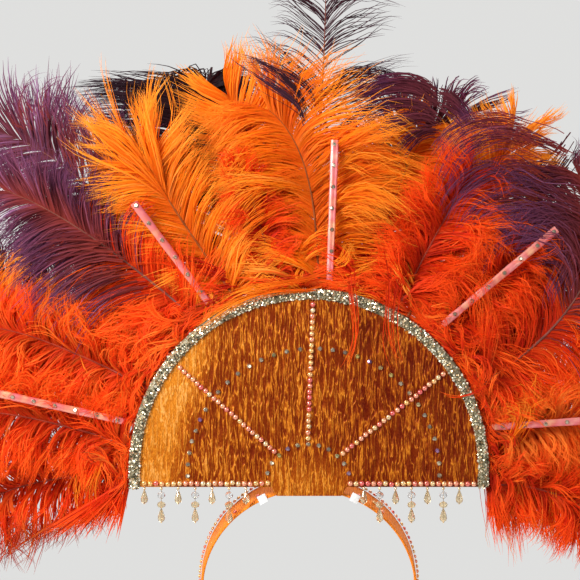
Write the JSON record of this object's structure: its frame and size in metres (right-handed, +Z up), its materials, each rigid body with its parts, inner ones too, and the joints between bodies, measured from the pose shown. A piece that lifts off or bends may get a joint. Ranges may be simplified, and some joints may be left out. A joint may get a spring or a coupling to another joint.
{
  "type": "feather headdress",
  "caption": "Carnival headdress: fan of ostrich plumes and staves round a D-shaped satin panel with stone rows and crystal drops, on a head band.",
  "frame": {"origin": "middle of the head band's inner surface, where the band sits on top of the head", "axes": "+Z up, +Y the way the wearer faces, +X towards the wearer's right; the decorated back of the panel faces -Y"},
  "size_m": [0.8582, 0.1049, 0.6655],
  "materials": {
    "satin": "crinkled metallic satin",
    "band_satin": "smooth orange satin",
    "braid": "silver and champagne stones on braid",
    "round_stone": "peach and pink with iridescent coat",
    "crystal": "clear and champagne cut glass",
    "iridescent_stave": "pink iridescent",
    "white_tape": "woven tape",
    "feather_red": "dyed ostrich, red-orange",
    "feather_orange": "dyed ostrich, orange",
    "feather_purple": "dyed ostrich, aubergine"
  },
  "bodies": {
    "root": {"fan_panel": "satin", "edge_trim": "braid", "spoke_beads_centre": "round_stone", "spoke_beads_left": "round_stone", "spoke_beads_right": "round_stone", "hem_beads_left": "round_stone", "hem_beads_right": "round_stone", "drop_01": "crystal", "drop_02": "crystal", "drop_03": "crystal", "drop_04": "crystal", "drop_05": "crystal", "drop_06": "crystal", "drop_07": "crystal", "drop_08": "crystal", "drop_09": "crystal", "drop_10": "crystal", "drop_11": "crystal", "drop_12": "crystal", "drop_13": "crystal", "drop_14": "crystal", "stave_centre": "iridescent_stave", "stave_upper_left": "iridescent_stave", "stave_upper_right": "iridescent_stave", "stave_lower_left": "iridescent_stave", "stave_lower_right": "iridescent_stave", "head_band": "band_satin", "band_beads": "round_stone", "hair_tab_left": "white_tape", "hair_tab_right": "white_tape", "plume_inner_1": "feather_red", "plume_inner_2": "feather_red", "plume_inner_3": "feather_purple", "plume_inner_4": "feather_red", "plume_inner_5": "feather_red", "plume_inner_6": "feather_orange", "plume_inner_7": "feather_red", "plume_inner_8": "feather_orange", "plume_inner_9": "feather_purple", "plume_inner_10": "feather_red", "plume_inner_11": "feather_red", "plume_middle_1": "feather_orange", "plume_middle_2": "feather_red", "plume_middle_3": "feather_red", "plume_middle_4": "feather_orange", "plume_middle_5": "feather_orange", "plume_middle_6": "feather_orange", "plume_middle_7": "feather_red", "plume_middle_8": "feather_orange", "plume_middle_9": "feather_red", "plume_outer_1": "feather_orange", "plume_outer_2": "feather_purple", "plume_outer_3": "feather_purple", "plume_outer_4": "feather_purple", "plume_outer_5": "feather_purple", "plume_outer_6": "feather_purple", "plume_outer_7": "feather_purple", "plume_outer_8": "feather_orange"}
  },
  "joints": []
}
